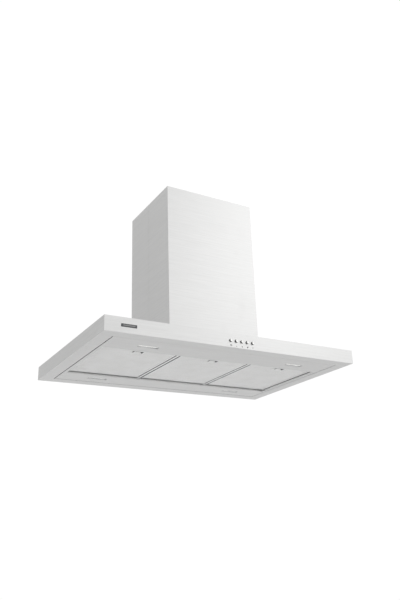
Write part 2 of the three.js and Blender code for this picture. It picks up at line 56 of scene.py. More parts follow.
BUTTONS = range(1, 6)


# ---- Camera and studio --------------------------------------------------------------------------
CAMERA_OFFSET = Vector((-1.0922, -1.9276, -0.5782))  # from the middle of the canopy's underside
CAMERA_YAW, CAMERA_PITCH, CAMERA_ROLL = -32.404, 21.364, -2.694
CAMERA_LENS, CAMERA_SENSOR = 39.82, 36.0
CAMERA_SHIFT = (-0.039, -0.0128)
CAMERA_FAR = 100.0
FLOOR_DROP = 1.8  # from the canopy's underside to the floor
FLOOR_SIZE = 18.0
FLOOR_TONE = (0.69, 0.69, 0.69)
FLOOR_ROUGHNESS = 0.8
FLOOR_MOTTLE = (0.97, 1.03)
FLOOR_FADE = (2.5, 6.0)  # metres behind the hood between which the floor turns a little darker, as painted shade
FLOOR_FAR_SHADE = 0.86


def make_camera():
    """The photograph's camera, below the hood at its front left, tilted up and a little to one side."""
    yaw, pitch, roll = (math.radians(a) for a in (CAMERA_YAW, CAMERA_PITCH, CAMERA_ROLL))
    forward = Vector((-math.sin(yaw) * math.cos(pitch), math.cos(yaw) * math.cos(pitch), math.sin(pitch)))
    level_right = Vector((math.cos(yaw), math.sin(yaw), 0))
    level_up = level_right.cross(forward)
    right = math.cos(roll) * level_right + math.sin(roll) * level_up
    up = -math.sin(roll) * level_right + math.cos(roll) * level_up
    data = bpy.data.cameras.new("camera")
    data.sensor_width = CAMERA_SENSOR
    data.lens = CAMERA_LENS
    data.shift_x, data.shift_y = CAMERA_SHIFT
    data.clip_end = CAMERA_FAR
    camera = bpy.data.objects.new("camera", data)
    bpy.context.scene.collection.objects.link(camera)
    turn = Matrix((right, up, -forward)).transposed().to_4x4()
    camera.matrix_world = Matrix.Translation(Vector((0, 0, UNDERSIDE)) + CAMERA_OFFSET) @ turn
    bpy.context.scene.camera = camera


class Graph:
    """Adds nodes to a node tree and links them."""

    def __init__(self, tree):
        self.tree = tree

    def add(self, kind, inputs=None, **settings):
        made = self.tree.nodes.new("ShaderNode" + kind)
        for key, value in settings.items():
            setattr(made, key, value)
        for key, value in (inputs or {}).items():
            self.feed(made.inputs[key], value)
        return made

    def feed(self, socket, value):
        if isinstance(value, bpy.types.NodeSocket):
            self.tree.links.new(value, socket)
        else:
            socket.default_value = value

    def math(self, operation, a, b=0.0, clamp=False):
        return self.add("Math", {0: a, 1: b}, operation=operation, use_clamp=clamp).outputs[0]

    def vector(self, operation, a, b=(0, 0, 0)):
        return self.add("VectorMath", {0: a, 1: b}, operation=operation)

    def spread(self, value, low, high, to_low, to_high):
        """Carries value from the range low..high to to_low..to_high, held at the ends."""
        sockets = {"Value": value, "From Min": low, "From Max": high, "To Min": to_low, "To Max": to_high}
        return self.add("MapRange", sockets, interpolation_type="SMOOTHSTEP").outputs["Result"]

    def noise(self, vector, scale, detail=2.0, roughness=0.5):
        sockets = {"Vector": vector, "Scale": scale, "Detail": detail, "Roughness": roughness}
        return self.add("TexNoise", sockets).outputs["Fac"]

    def mix(self, share, a, b):
        """Mixes two colours, which are inputs 6 and 7 and output 2 of the Mix node."""
        made = self.add("Mix", data_type="RGBA")
        for index, value in ((0, share), (6, a), (7, b)):
            self.feed(made.inputs[index], value)
        return made.outputs[2]

    def object_place(self):
        """The object's own coordinates, in metres."""
        return self.add("TexCoord").outputs["Object"]


STUDIO_BRIGHT = 1.02
KEY_PLACE, KEY_TARGET = (2.3, -3.0, 1.6), (0.0, 0.0, -0.3)
KEY_SIZE, KEY_POWER = (0.9, 2.4), 4.0  # a tall soft box that lights the chimney's right half
# Dimmer parts of the studio: direction, light there, and the cosines between which it falls off.
STUDIO_BACK_LEFT = {"direction": (-0.60, 0.76, 0.25), "light": 0.57, "edge": (0.80, 0.93)}
STUDIO_FRONT_LEFT = {"direction": (-0.10, -0.92, 0.45), "light": 0.80, "edge": (0.74, 0.93)}


def make_world():
    world = bpy.data.worlds.new("studio")
    world.use_nodes = True
    bpy.context.scene.world = world
    graph = Graph(world.node_tree)
    background = world.node_tree.nodes["Background"]
    direction = graph.add("TexCoord").outputs["Generated"]
    light = STUDIO_BRIGHT
    for dim in (STUDIO_BACK_LEFT, STUDIO_FRONT_LEFT):
        centre = Vector(dim["direction"]).normalized()
        toward = graph.vector("DOT_PRODUCT", direction, centre).outputs["Value"]
        light = graph.math("MULTIPLY", light, graph.spread(toward, *dim["edge"], 1.0, dim["light"]))
    background.inputs["Color"].default_value = (1, 1, 1, 1)
    graph.feed(background.inputs["Strength"], light)


def make_light(name, place, target, width, height, power):
    data = bpy.data.lights.new(name, "AREA")
    data.shape = "RECTANGLE"
    data.size, data.size_y = width, height
    data.energy = power
    light = bpy.data.objects.new(name, data)
    bpy.context.scene.collection.objects.link(light)
    place, target = Vector(place), Vector(target)
    light.location = place
    light.rotation_mode = "QUATERNION"
    light.rotation_quaternion = (target - place).to_track_quat("-Z", "Y")


def make_floor():
    z = UNDERSIDE - FLOOR_DROP
    half = FLOOR_SIZE / 2
    mesh = bpy.data.meshes.new("floor")
    corners = [(-half, -half, z), (half, -half, z), (half, half, z), (-half, half, z)]
    mesh.from_pydata(corners, [], [(0, 1, 2, 3)])
    floor = bpy.data.objects.new("floor", mesh)
    bpy.context.scene.collection.objects.link(floor)
    material, graph, shader = new_material("floor_paint", FLOOR_TONE, FLOOR_ROUGHNESS)
    place = graph.object_place()
    mottle = tint(graph, graph.noise(place, 3.0, detail=4.0), FLOOR_TONE, FLOOR_MOTTLE)
    # painted shade: the floor's colour turns darker farther behind the hood, as if less light reached it
    # there
    away = graph.add("SeparateXYZ", {0: place}).outputs["Y"]
    faded = graph.spread(away, *FLOOR_FADE, 0.0, 1.0)
    graph.feed(shader.inputs["Base Color"], graph.mix(faded, mottle, shade(FLOOR_TONE, FLOOR_FAR_SHADE)))
    floor.data.materials.append(material)


# ---- Materials ----------------------------------------------------------------------------------
METAL = 1.0
# Parts of a noise's range that a tone or a roughness is spread over.
NARROW, MIDDLE, BROAD = (0.35, 0.65), (0.3, 0.7), (0.25, 0.75)


def new_material(name, color, roughness, metallic=0.0):
    material = bpy.data.materials.new(name)
    material.use_nodes = True
    graph = Graph(material.node_tree)
    shader = material.node_tree.nodes["Principled BSDF"]
    shader.inputs["Base Color"].default_value = (*color, 1)
    shader.inputs["Roughness"].default_value = roughness
    shader.inputs["Metallic"].default_value = metallic
    return material, graph, shader


def shade(tone, factor):
    return (*(min(1.0, channel * factor) for channel in tone), 1)


def tint(graph, share, tone, shades):
    """A colour between two shades of a tone, by a share from 0 to 1."""
    return graph.mix(share, shade(tone, shades[0]), shade(tone, shades[1]))


def around(roughness, offsets):
    return roughness + offsets[0], roughness + offsets[1]


def bump(graph, shader, height, depth, strength):
    made = graph.add("Bump", {"Strength": strength, "Distance": depth, "Height": height})
    graph.feed(shader.inputs["Normal"], made.outputs["Normal"])


ALONG_GRAIN = 8.0  # noise cells per metre along a brushed line
GRAINS = ((1500.0, 0.40), (300.0, 0.45), (90.0, 0.15))  # cells per metre across the lines, and share
GRAIN_SHADES = (0.945, 1.045)
GRAIN_DULLING = (-0.05, 0.06)  # what the lines add to the roughness
FACING_SIDE = 0.7  # least size of a normal's X for its face to count as one towards X
CLOUD_SCALE, CLOUD_SHARE, CLOUD_SHADE = 3.5, 0.35, 0.975
SMEAR_SCALE, SMEAR_EDGES, SMEAR_DULLING = 14.0, (0.55, 0.75), 0.04


def grain_coordinates(graph, across):
    """Object places stretched so that noise runs in level lines: along X, or along Y on faces towards X."""
    place = graph.add("SeparateXYZ", {0: graph.object_place()})
    normal = graph.add("SeparateXYZ", {0: graph.add("NewGeometry").outputs["Normal"]})
    side_share = graph.math("GREATER_THAN", graph.math("ABSOLUTE", normal.outputs["X"]), FACING_SIDE)
    y_scale = graph.add("Mix", {0: side_share, 2: across, 3: ALONG_GRAIN}).outputs[0]
    sockets = {
        "X": graph.math("MULTIPLY", place.outputs["X"], ALONG_GRAIN),
        "Y": graph.math("MULTIPLY", place.outputs["Y"], y_scale),
        "Z": graph.math("MULTIPLY", place.outputs["Z"], across),
    }
    return graph.add("CombineXYZ", sockets).outputs[0]


def brushed_steel(name, tone, roughness):
    """Sheet with level brushed lines, faint clouds, and smears that dull it a little."""
    material, graph, shader = new_material(name, tone, roughness, METAL)
    place = graph.object_place()
    grain = 0.0
    for across, share in GRAINS:
        lines = graph.noise(grain_coordinates(graph, across), scale=1.0, detail=3.0, roughness=0.6)
        grain = graph.math("ADD", grain, graph.math("MULTIPLY", lines, share))
    lined = tint(graph, graph.spread(grain, *NARROW, 0.0, 1.0), tone, GRAIN_SHADES)
    cloud = graph.spread(graph.noise(place, CLOUD_SCALE, detail=3.0), *NARROW, 0.0, CLOUD_SHARE)
    graph.feed(shader.inputs["Base Color"], graph.mix(cloud, lined, shade(tone, CLOUD_SHADE)))
    smears = graph.noise(place, SMEAR_SCALE, detail=4.0, roughness=0.6)
    smeared = graph.math("MULTIPLY", graph.spread(smears, *SMEAR_EDGES, 0.0, 1.0), SMEAR_DULLING)
    grained = graph.spread(grain, *BROAD, *around(roughness, GRAIN_DULLING))
    graph.feed(shader.inputs["Roughness"], graph.math("ADD", grained, smeared))
    bump(graph, shader, grain, depth=0.06 * MM, strength=0.5)
    return material


SCRATCH_CELLS = (60, 1200, 1200)  # noise cells per metre: scratches run along X
SCRATCH_DULLING = (-0.07, 0.08)
OXIDE_SCALE, OXIDE_SHADES = 22.0, (0.95, 1.03)


def mill_aluminium(name, tone, roughness):
    """Drawn aluminium with fine short scratches and a matt cloudy oxide."""
    material, graph, shader = new_material(name, tone, roughness, METAL)
    place = graph.object_place()
    scratch = graph.noise(graph.vector("MULTIPLY", place, SCRATCH_CELLS).outputs[0], scale=1.0)
    oxide = graph.spread(graph.noise(place, OXIDE_SCALE, detail=4.0), *MIDDLE, 0.0, 1.0)
    graph.feed(shader.inputs["Base Color"], tint(graph, oxide, tone, OXIDE_SHADES))
    scratched = graph.spread(scratch, *MIDDLE, *around(roughness, SCRATCH_DULLING))
    graph.feed(shader.inputs["Roughness"], scratched)
    bump(graph, shader, scratch, depth=0.04 * MM, strength=0.4)
    return material


MESH_CELL = 1.6 * MM
WIRE_EDGES = (0.04, 0.22)  # distances from a cell's edge, in cells, between which a wire fades out
PORE_SHADE_AND_WIRE_TONE = (0.93, 1.03)  # of the pores, darker as painted shade in the holes, and of the wires
WIRE_ROUGHNESS = (0.80, 0.62)
MESH_CLOUD_SCALE, MESH_CLOUD_SHARE, MESH_CLOUD_SHADE = 16.0, 0.5, 0.98


def mesh_backing(name, tone):
    """Layers of fine knitted aluminium behind the front mesh: small cells, bright wires, and pores painted
    darker as shade in the holes.
    """
    material, graph, shader = new_material(name, tone, WIRE_ROUGHNESS[1], METAL)
    place = graph.object_place()
    cells = graph.add("TexVoronoi", {"Vector": place, "Scale": 1 / MESH_CELL}, feature="DISTANCE_TO_EDGE")
    wires = graph.spread(cells.outputs["Distance"], *WIRE_EDGES, 1.0, 0.0)
    cloud = graph.spread(graph.noise(place, MESH_CLOUD_SCALE, detail=3.0), *MIDDLE, 0.0, MESH_CLOUD_SHARE)
    # pores painted darker: painted shade in the holes between the wires
    knitted = tint(graph, wires, tone, PORE_SHADE_AND_WIRE_TONE)
    graph.feed(shader.inputs["Base Color"], graph.mix(cloud, knitted, shade(tone, MESH_CLOUD_SHADE)))
    graph.feed(shader.inputs["Roughness"], graph.spread(wires, 0.0, 1.0, *WIRE_ROUGHNESS))
    bump(graph, shader, wires, depth=0.3 * MM, strength=0.5)
    return material


SPANGLE_SCALE, SPANGLE_SHADES, SPANGLE_ROUGHNESS = 110.0, (0.84, 1.08), (0.36, 0.58)
ZINC_METALLIC = 0.9
ZINC_GRAIN_SCALE = 900.0


def galvanised(name, tone):
    """Zinc-coated sheet: patches of spangle, each with its own tone and gloss."""
    material, graph, shader = new_material(name, tone, SPANGLE_ROUGHNESS[0], ZINC_METALLIC)
    place = graph.object_place()
    spangle = graph.add("TexVoronoi", {"Vector": place, "Scale": SPANGLE_SCALE})
    patch = graph.add("SeparateXYZ", {0: spangle.outputs["Color"]}).outputs["X"]
    graph.feed(shader.inputs["Base Color"], tint(graph, patch, tone, SPANGLE_SHADES))
    graph.feed(shader.inputs["Roughness"], graph.spread(patch, 0.0, 1.0, *SPANGLE_ROUGHNESS))
    bump(graph, shader, graph.noise(place, ZINC_GRAIN_SCALE), depth=0.05 * MM, strength=0.3)
    return material


MOULD_SCALE, MOULD_EDGES, MOULD_DULLING = 1600.0, (0.2, 0.8), (-0.08, 0.1)
DUST_SCALE, DUST_EDGES, DUST_SHARE, DUST_SHADES = 30.0, (0.45, 0.7), 0.6, (1.0, 1.35)


def moulded_plastic(name, tone, roughness):
    """Plastic with a spark-eroded grain and a little dust."""
    material, graph, shader = new_material(name, tone, roughness)
    place = graph.object_place()
    grain = graph.noise(place, MOULD_SCALE, detail=3.0, roughness=0.65)
    dust = graph.spread(graph.noise(place, DUST_SCALE, detail=4.0), *DUST_EDGES, 0.0, DUST_SHARE)
    graph.feed(shader.inputs["Base Color"], tint(graph, dust, tone, DUST_SHADES))
    grained = graph.spread(grain, *MOULD_EDGES, *around(roughness, MOULD_DULLING))
    graph.feed(shader.inputs["Roughness"], grained)
    bump(graph, shader, grain, depth=0.08 * MM, strength=0.6)
    return material


# painted light: a faint glow that brightens the lenses, standing in for light falling on them, not lamps that
# are on
PAINTED_LENS_GLOW, PAINTED_GLOW_TONE = 0.42, (1.0, 0.99, 0.96, 1)
PRISM_SCALE = 160.0
HAZE_SCALE, HAZE_SHADES, HAZE_ROUGHNESS = 60.0, (0.97, 1.03), (0.22, 0.34)


def opal_diffuser(name, tone):
    """Milky lamp lens with fine prisms across it, and a faint painted glow that stands in for light falling
    on it.
    """
    material, graph, shader = new_material(name, tone, HAZE_ROUGHNESS[0])
    place = graph.object_place()
    waves = {"Vector": place, "Scale": PRISM_SCALE}
    prisms = graph.add("TexWave", waves, bands_direction="X", wave_profile="SIN")
    haze = graph.noise(place, HAZE_SCALE)
    graph.feed(shader.inputs["Base Color"], tint(graph, haze, tone, HAZE_SHADES))
    graph.feed(shader.inputs["Roughness"], graph.spread(haze, *MIDDLE, *HAZE_ROUGHNESS))
    # painted glow, not a lit lamp
    shader.inputs["Emission Color"].default_value = PAINTED_GLOW_TONE
    shader.inputs["Emission Strength"].default_value = PAINTED_LENS_GLOW
    bump(graph, shader, prisms.outputs["Fac"], depth=0.2 * MM, strength=0.4)
    return material


RUB_CELLS = (900, 200, 900)  # noise cells per metre: rubs run along Y
RUB_SHADES, RUB_EDGES, RUB_DULLING = (0.95, 1.02), (0.35, 0.75), (0.0, 0.12)


def polished_metal(name, tone, roughness):
    """Plated or turned metal with a few fine rubs."""
    material, graph, shader = new_material(name, tone, roughness, METAL)
    rub_places = graph.vector("MULTIPLY", graph.object_place(), RUB_CELLS).outputs[0]
    rubs = graph.noise(rub_places, scale=1.0, detail=3.0)
    graph.feed(shader.inputs["Base Color"],
               tint(graph, graph.spread(rubs, *MIDDLE, 0.0, 1.0), tone, RUB_SHADES))
    graph.feed(shader.inputs["Roughness"], graph.spread(rubs, *RUB_EDGES, *around(roughness, RUB_DULLING)))
    bump(graph, shader, rubs, depth=0.02 * MM, strength=0.3)
    return material


INK_SCALE, INK_SHADES, INK_ROUGHNESS = 2500.0, (0.85, 1.15), (0.45, 0.65)


def ink(name, tone):
    """Thin printed marking, slightly uneven in cover."""
    material, graph, shader = new_material(name, tone, INK_ROUGHNESS[0])
    cover = graph.noise(graph.object_place(), INK_SCALE)
    graph.feed(shader.inputs["Base Color"], tint(graph, cover, tone, INK_SHADES))
    graph.feed(shader.inputs["Roughness"], graph.spread(cover, *MIDDLE, *INK_ROUGHNESS))
    bump(graph, shader, cover, depth=0.02 * MM, strength=0.3)
    return material


STEEL = brushed_steel("brushed_steel", (0.77, 0.77, 0.765), 0.34)
ALUMINIUM = mill_aluminium("mill_aluminium", (0.95, 0.955, 0.955), 0.42)
STRAND = mill_aluminium("mesh_strand", (0.98, 0.98, 0.975), 0.62)
MESH = mesh_backing("knitted_mesh", (0.97, 0.97, 0.965))
ZINC = galvanised("galvanised_sheet", (0.60, 0.62, 0.63))
BLACK = moulded_plastic("black_plastic", (0.035, 0.036, 0.038), 0.5)
GREY = moulded_plastic("grey_plastic", (0.33, 0.34, 0.345), 0.48)
# dark grey: painted shade in the latches' finger recesses
DARK_GREY = moulded_plastic("dark_grey_painted_shade", (0.10, 0.102, 0.105), 0.55)
# grey of the lamp gaskets, which also stands in for shade on the lamp holes' walls
SOFT_GREY = moulded_plastic("soft_grey_rubber", (0.52, 0.525, 0.53), 0.55)
OPAL = opal_diffuser("opal_lens", (0.95, 0.95, 0.93))
CHROME = polished_metal("polished_chrome", (0.86, 0.86, 0.86), 0.10)
BUTTON_SATIN = polished_metal("button_satin", (0.92, 0.92, 0.91), 0.22)
BADGE_DARK = polished_metal("badge_dark", (0.12, 0.125, 0.13), 0.34)
BADGE_STRIPE = polished_metal("badge_stripe", (0.30, 0.30, 0.30), 0.34)
COPPER = polished_metal("winding_copper", (0.72, 0.36, 0.20), 0.35)
INK = ink("icon_ink", (0.09, 0.09, 0.09))
# dark barrel plastic, which also stands in for the shade and dark reflection on a button's side
BARREL_DARK = moulded_plastic("button_barrel", (0.06, 0.062, 0.065), 0.45)


# ---- Mesh helpers -------------------------------------------------------------------------------
NEARLY = 1e-6
SMOOTH_ANGLE = math.radians(35)  # edges between faces that turn by less are shaded smooth
ROUND_PROFILE = 0.5
CORNER_STEPS = 6


def add_piece(name, shape, body, material, replaced=()):
    """Turns a bmesh into a piece that rides on a body, in place of the replaced CAD nodes if any."""
    bmesh.ops.remove_doubles(shape, verts=shape.verts, dist=NEARLY)
    bmesh.ops.recalc_face_normals(shape, faces=shape.faces)
    mesh = bpy.data.meshes.new(name)
    shape.to_mesh(mesh)
    shape.free()
    mesh.shade_smooth()
    mesh.set_sharp_from_angle(angle=SMOOTH_ANGLE)
    mesh.materials.append(material)
    piece = bpy.data.objects.new(name, mesh)
    bpy.context.scene.collection.objects.link(piece)
    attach(piece, body)
    if replaced:
        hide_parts(*replaced)
    return piece


def rounded_block(shape, low, high, radius, segments=2):
    """Adds a block with rounded edges to the bmesh."""
    low, high = Vector(low), Vector(high)
    size = high - low
    place = Matrix.Translation((low + high) / 2) @ Matrix.Diagonal((*size, 1))
    block = bmesh.new()
    bmesh.ops.create_cube(block, size=1.0, matrix=place)
    bmesh.ops.bevel(block, geom=list(block.edges), offset=radius, segments=segments,
                    profile=ROUND_PROFILE, affect="EDGES")
    merge(shape, block)


def merge(shape, other, place=None):
    """Moves other's faces into shape, through a matrix if one is given."""
    if place is not None:
        bmesh.ops.transform(other, matrix=place, verts=other.verts)
    mesh = bpy.data.meshes.new("part")
    other.to_mesh(mesh)
    other.free()
    shape.from_mesh(mesh)
    bpy.data.meshes.remove(mesh)


def ring_point(radius, angle, sides):
    """A point at an angle on a circle, or on a regular polygon of that many sides if sides isn't 0."""
    if sides:
        slice_angle = 2 * math.pi / sides
        radius = radius / math.cos((angle + slice_angle / 2) % slice_angle - slice_angle / 2)
    return radius * math.cos(angle), radius * math.sin(angle)


def turned(shape, profile, place, steps):
    """Adds a body of revolution. Profile points are (radius, height) or (radius, height, sides)."""
    body = bmesh.new()
    rings = []
    for point in profile:
        radius, height = point[:2]
        sides = point[2] if len(point) > 2 else 0
        if radius == 0:
            rings.append([body.verts.new((0, 0, height))])
            continue
        spots = (ring_point(radius, 2 * math.pi * i / steps, sides) for i in range(steps))
        rings.append([body.verts.new((x, y, height)) for x, y in spots])
    for lower, upper in zip(rings, rings[1:]):
        for i in range(steps):
            j = (i + 1) % steps
            below = [lower[i % len(lower)], lower[j % len(lower)]]
            above = [upper[j % len(upper)], upper[i % len(upper)]]
            unique = list(dict.fromkeys(below + above))
            if len(unique) > 2:
                body.faces.new(unique)
    merge(shape, body, place)


def scaled(profile, radius, height):
    """A turned profile whose radii and heights are given as multiples of a radius and a height."""
    return [(share * radius, level * height, *sides) for share, level, *sides in profile]


def towards(direction, place):
    """A matrix that carries +Z to a direction and the origin to a place."""
    turn = Vector(direction).to_track_quat("Z", "Y").to_matrix().to_4x4()
    return Matrix.Translation(Vector(place)) @ turn


def outline_prism(shape, points, depth, place):
    """Adds a flat outline of (x, y) points, thickened along its own +Z."""
    body = bmesh.new()
    face = body.faces.new([body.verts.new((x, y, 0)) for x, y in points])
    lifted = bmesh.ops.extrude_face_region(body, geom=[face])
    risen = [item for item in lifted["geom"] if isinstance(item, bmesh.types.BMVert)]
    bmesh.ops.translate(body, verts=risen, vec=(0, 0, depth))
    merge(shape, body, place)


def arc(radius, start, end, steps, centre=(0.0, 0.0)):
    """Points along an arc, angles in degrees."""
    angles = (math.radians(start + (end - start) * i / steps) for i in range(steps + 1))
    return [(centre[0] + radius * math.cos(a), centre[1] + radius * math.sin(a)) for a in angles]


def band(inner, outer, start, end, steps):
    """Outline of a curved band between two radii."""
    return arc(outer, start, end, steps) + arc(inner, end, start, steps)


def rounded_rectangle(width, depth, radius):
    x, y = width / 2 - radius, depth / 2 - radius
    points = []
    for start, cx, cy in ((0, x, y), (90, -x, y), (180, -x, -y), (270, x, -y)):
        points += arc(radius, start, start + 90, CORNER_STEPS, (cx, cy))
    return points


def centre_of(node):
    low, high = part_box(node)
    return (low + high) / 2


# ---- CAD nodes that keep their shape ------------------------------------------------------------
SLOT_MATERIALS = {
    "brushed_steel": STEEL, "aluminium": ALUMINIUM, "galvanised": ZINC, "black_plastic": BLACK,
    "grey_plastic": GREY, "lamp_white": OPAL, "chrome": CHROME, "badge_metal": BADGE_DARK,
}
NODE_MATERIALS = {"filter_mesh": MESH, "latch_cup": STRAND}
FOLDED_NODES = ("canopy_shell", "inner_panel", "lower_chimney", "filter_divider", "filter_frame", "latch_cup")
FOLD_ROUND = 0.45 * MM
FOLD_SEGMENTS = 2
FOLD_ANGLE = math.radians(40)  # edges that turn by more are rounded


def finish_nodes():
    """Gives every CAD node its material, and rounds the folded edges of the sheet-metal ones."""
    for entry in frame["record"]["subparts"]:
        node = frame["nodes"][entry["node"]]
        material = SLOT_MATERIALS[entry["material_slot"]]
        for start, own in NODE_MATERIALS.items():
            material = own if entry["node"].startswith(start) else material
        node.data.materials.clear()
        node.data.materials.append(material)
        if entry["node"].startswith(FOLDED_NODES):
            edge = node.modifiers.new("folded_edges", "BEVEL")
            edge.width = FOLD_ROUND
            edge.segments = FOLD_SEGMENTS
            edge.limit_method = "ANGLE"
            edge.angle_limit = FOLD_ANGLE
            edge.harden_normals = False


# ---- Filters ------------------------------------------------------------------------------------
STRAND_PITCH = 4.0 * MM  # between neighbouring strands of the expanded mesh
STRAND_STEP = 4.0 * MM  # half a diamond along a strand
STRAND_WIDTH = 0.55 * MM
STRAND_THICKNESS = 0.4 * MM
MESH_GAP = 0.1  # between the strands and the backing, in strand thicknesses
FIRST_ROW, FIRST_COLUMN = 0.9, 0.4  # where the strands start, in pitches and in steps


def strand(vertices, faces, xs, y, z, phase):
    """Adds one zigzag strand of square section through the given x places."""
    first = len(vertices)
    for index, x in enumerate(xs):
        swing = STRAND_PITCH / 2 * (1 if (index + phase) % 2 else -1)
        for dy, dz in ((-1, -1), (1, -1), (1, 1), (-1, 1)):
            vertices.append((x, y + swing + dy * STRAND_WIDTH / 2, z + dz * STRAND_THICKNESS / 2))
    for index in range(len(xs) - 1):
        base = first + 4 * index
        for side in range(4):
            ahead = (side + 1) % 4
            faces.append((base + side, base + ahead, base + 4 + ahead, base + 4 + side))
    last = first + 4 * (len(xs) - 1)
    faces.append((first + 3, first + 2, first + 1, first))
    faces.append((last, last + 1, last + 2, last + 3))


def filter_front_mesh(side):
    """The expanded-metal face of a filter, cut out around its latch."""
    low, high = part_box(f"filter_mesh_{side}")
    cup_low, cup_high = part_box(f"latch_cup_{side}")
    z = low.z - STRAND_THICKNESS * (0.5 + MESH_GAP)
    columns = int((high.x - low.x) / STRAND_STEP)
    rows = int((high.y - low.y - STRAND_PITCH) / STRAND_PITCH)
    vertices, faces = [], []
    for row in range(rows):
        y = low.y + STRAND_PITCH * (row + FIRST_ROW)
        xs = [low.x + STRAND_STEP * (i + FIRST_COLUMN) for i in range(columns)]
        if y > cup_high.y + STRAND_PITCH or y < cup_low.y - STRAND_PITCH:
            strand(vertices, faces, xs, y, z, row)
            continue
        before = [x for x in xs if x < cup_low.x - MM]
        after = [x for x in xs if x > cup_high.x + MM]
        strand(vertices, faces, before, y, z, row)
        strand(vertices, faces, after, y, z, row + len(xs) - len(after))
    mesh = bpy.data.meshes.new(f"filter_front_mesh_{side}")
    mesh.from_pydata(vertices, [], faces)
    mesh.materials.append(STRAND)
    piece = bpy.data.objects.new(mesh.name, mesh)
    bpy.context.scene.collection.objects.link(piece)
    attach(piece, f"filter_{side}")


RIVET_OUTSET = 3.8 * MM  # from the mesh's corner, along X and Y
RIVET_PROFILE = ((0, -0.1), (0.7, -0.1), (0.8, -0.5), (1.2, -0.6), (1.9, -0.4), (2.1, 0.1), (0, 0.1))
RIVET_STEPS = 20


def filter_rivets(side):
    """A hollow rivet in each corner of the filter's frame."""
    low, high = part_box(f"filter_mesh_{side}")
    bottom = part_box(f"latch_cup_{side}")[0].z
    profile = scaled(RIVET_PROFILE, MM, MM)
    rivets = bmesh.new()
    for x in (low.x - RIVET_OUTSET, high.x + RIVET_OUTSET):
        for y in (low.y - RIVET_OUTSET, high.y + RIVET_OUTSET):
            turned(rivets, profile, Matrix.Translation((x, y, bottom)), RIVET_STEPS)
    add_piece(f"filter_rivets_{side}", rivets, f"filter_{side}", ALUMINIUM)


CUP_WALL = 1.5 * MM
CUP_RADIUS = 2.5 * MM
LATCH_SHADE_FRONT = 2.2 * MM
LATCH_SHADE_SIDE = 4.6 * MM
LATCH_SHADE_HEIGHT = 3.2 * MM  # stays under the tab's slot
RAMP_LENGTH = 7 * MM  # leaves room for the tab's travel
RAMP_SIZE = 0.5 * MM  # thickness of its two ends
TAB_THICKNESS = 1.4 * MM
TAB_ROUND = 0.45 * MM
PAD_LENGTH = 12.2 * MM
RIB_SIZE = (0.85, 1.2 * MM, 0.5 * MM)  # share of the pad's width, length along Y, height
RIB_ROUND = 0.3 * MM
TAB_RIBS = 4


def shade_outline(width, depth):
    """A strip along the front half of a rectangle: square outside, with rounded corners inside."""
    x, y = width / 2, -depth / 2
    centre_x, centre_y = x - LATCH_SHADE_SIDE - CUP_RADIUS, y + LATCH_SHADE_FRONT + CUP_RADIUS
    left_corner = arc(CUP_RADIUS, 180, 270, CORNER_STEPS, (-centre_x, centre_y))
    right_corner = arc(CUP_RADIUS, 270, 360, CORNER_STEPS, (centre_x, centre_y))
    outside = [(x - LATCH_SHADE_SIDE, 0), (x, 0), (x, y), (-x, y), (-x, 0)]
    return [(LATCH_SHADE_SIDE - x, 0)] + left_corner + right_corner + outside


def latch(side):
    """A dark strip round the front of the finger recess, painted shade there, a ramp at its back, and the
    ribbed pull tab.
    """
    low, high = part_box(f"latch_cup_{side}")
    middle = (low + high) / 2
    # dark grey strip: painted shade round the front of the finger recess
    recess_shade = bmesh.new()
    outline = shade_outline(high.x - low.x - 2 * CUP_WALL, high.y - low.y - 2 * CUP_WALL)
    outline_prism(recess_shade, outline, LATCH_SHADE_HEIGHT, Matrix.Translation((middle.x, middle.y, low.z)))
    add_piece(f"latch_shade_strip_{side}", recess_shade, f"filter_{side}", DARK_GREY)

    ramp = bmesh.new()
    back, front = high.y - CUP_WALL, high.y - CUP_WALL - RAMP_LENGTH
    bottom, top = low.z + RAMP_SIZE, high.z - CUP_WALL
    thin_ends = [(front, top - RAMP_SIZE), (back - RAMP_SIZE, bottom)]
    outline = [(back, bottom), (back, top), (front, top)] + thin_ends
    half_width = (high.x - low.x) / 2 - CUP_WALL
    # the outline's own X and Y become the world's Y and Z
    upright = Matrix(((0, 0, 1, middle.x - half_width), (1, 0, 0, 0), (0, 1, 0, 0), (0, 0, 0, 1)))
    outline_prism(ramp, outline, 2 * half_width, upright)
    add_piece(f"latch_ramp_{side}", ramp, f"filter_{side}", STRAND)

    tab_low, tab_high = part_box(f"latch_tab_{side}")
    half = (tab_high.x - tab_low.x) / 2
    plate_low = tab_high.z - TAB_THICKNESS
    pad_front = tab_high.y - PAD_LENGTH
    rib_share, rib_length, rib_height = RIB_SIZE
    tab = bmesh.new()
    for near, bottom in ((tab_low.y, plate_low), (pad_front, tab_low.z + rib_height)):
        far_corner = (middle.x + half, tab_high.y, tab_high.z)
        rounded_block(tab, (middle.x - half, near, bottom), far_corner, TAB_ROUND, 3)
    rib_half, rib_top = half * rib_share, tab_low.z + 2 * rib_height
    for i in range(TAB_RIBS):
        y = pad_front + (i + 0.5) * PAD_LENGTH / TAB_RIBS
        rounded_block(tab, (middle.x - rib_half, y - rib_length / 2, tab_low.z),
                      (middle.x + rib_half, y + rib_length / 2, rib_top), RIB_ROUND)
    add_piece(f"latch_pull_{side}", tab, f"latch_{side}", STRAND, (f"latch_tab_{side}",))


# black strips that paint shade into the gaps round the filters
SHADE_STRIP_THICKNESS = 0.35 * MM
SHADE_STRIP_ROUND = 0.1 * MM
SHADE_STRIP_TOP_GAP = MM  # below the top of the filter's frame
CHANNEL_HEIGHT = 8 * MM
CHANNEL_LIPS = (1.0 * MM, 1.8 * MM)  # width of the left and right lips
LIP_THICKNESS = 0.15 * MM
GROOVE = 2.5 * MM
# width of the black strip that paints shade into the back groove
BACK_SHADE_WIDTH = 1.8 * MM
OPENING_PLAY = 1.0 * MM  # between a filter's side and the fold of the opening
